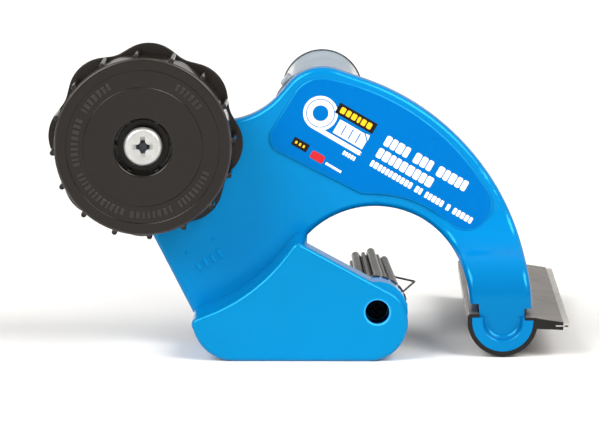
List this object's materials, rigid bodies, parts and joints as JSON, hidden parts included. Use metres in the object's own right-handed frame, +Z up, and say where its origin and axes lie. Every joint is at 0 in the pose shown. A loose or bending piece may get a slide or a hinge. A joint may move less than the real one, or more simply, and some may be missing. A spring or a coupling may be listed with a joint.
{
  "type": "hand-held tape and masking paper dispenser",
  "caption": "Hand dispenser for painter's tape with masking paper: arched handle on a base, ribbed hub for the tape roll, ribbed spindle for the paper roll and a long cutter channel.",
  "frame": {"origin": "on the flat underside of the base, in the plane of the paper's near edge and the middle of the tape", "axes": "+X from the tape hub to the cutter blade, +Y from the user's side along the paper spindle, +Z up"},
  "size_m": [0.2161, 0.182, 0.1279],
  "materials": {
    "blue_plastic": "glossy moulded blue plastic",
    "label_print": "printed blue label film",
    "black_plastic": "glossy moulded black plastic",
    "hub_plastic": "satin moulded black plastic",
    "bearing_plastic": "natural plain-bearing plastic",
    "friction_felt": "pressed felt",
    "zinc_steel": "zinc-plated steel",
    "blade_steel": "stainless strip",
    "spring_wire": "blackened spring wire",
    "blackened_steel": "black-oxide steel",
    "clear_plastic": "clear moulded plastic"
  },
  "bodies": {
    "frame": {"front_shell": "blue_plastic", "rear_shell": "blue_plastic", "shell_screws": "zinc_steel", "base_cover": "blue_plastic", "cover_screws": "zinc_steel", "label": "label_print", "hub_axle": "zinc_steel", "hub_nut": "zinc_steel", "spindle_axle": "zinc_steel", "spindle_screw": "blackened_steel", "spindle_retainer": "zinc_steel", "blade_channel": "black_plastic", "cutter_blade": "blade_steel"},
    "tape_hub": {"tape_hub": "hub_plastic", "hub_flange": "black_plastic", "hub_bush": "bearing_plastic", "friction_disc": "friction_felt"},
    "drag_screw": {"hub_screw": "zinc_steel", "pressure_washer": "black_plastic", "drag_spring": "spring_wire"},
    "paper_spindle": {"paper_spindle": "black_plastic", "spindle_flange": "black_plastic", "spindle_bushes": "bearing_plastic"},
    "core_clip": {"core_clip": "spring_wire"},
    "blade_guard": {"blade_guard": "clear_plastic"},
    "clear_sleeve": {"clear_sleeve": "clear_plastic", "sleeve_collar": "clear_plastic"}
  },
  "joints": [
    {"name": "tape_hub_spin", "type": "hinge", "parent": "frame", "child": "tape_hub", "pos_m": [-0.0645, 0, 0.0874], "axis": [0, 1, 0], "continuous": true},
    {"name": "paper_spindle_spin", "type": "hinge", "parent": "frame", "child": "paper_spindle", "pos_m": [0.031, 0, 0.0204], "axis": [-0.0288, 0.9996, 0], "continuous": true},
    {"name": "hub_screw_turn", "type": "hinge", "parent": "frame", "child": "drag_screw", "pos_m": [-0.0645, 0, 0.0874], "axis": [0, 1, 0], "range_deg": [-360, 360]},
    {"name": "core_clip_flex", "type": "hinge", "parent": "paper_spindle", "child": "core_clip", "pos_m": [0.04131, 0.0068, 0.02292], "axis": [-0.2333, -0.0067, 0.9724], "range_deg": [0, 4.5], "stiffness_Nm_per_rad": 0.02},
    {"name": "blade_guard_pull", "type": "slide", "parent": "frame", "child": "blade_guard", "axis": [1, 0, 0], "range_m": [0, 0.012]},
    {"name": "clear_sleeve_pull", "type": "slide", "parent": "frame", "child": "clear_sleeve", "axis": [0, 1, 0], "range_m": [0, 0.016]}
  ]
}
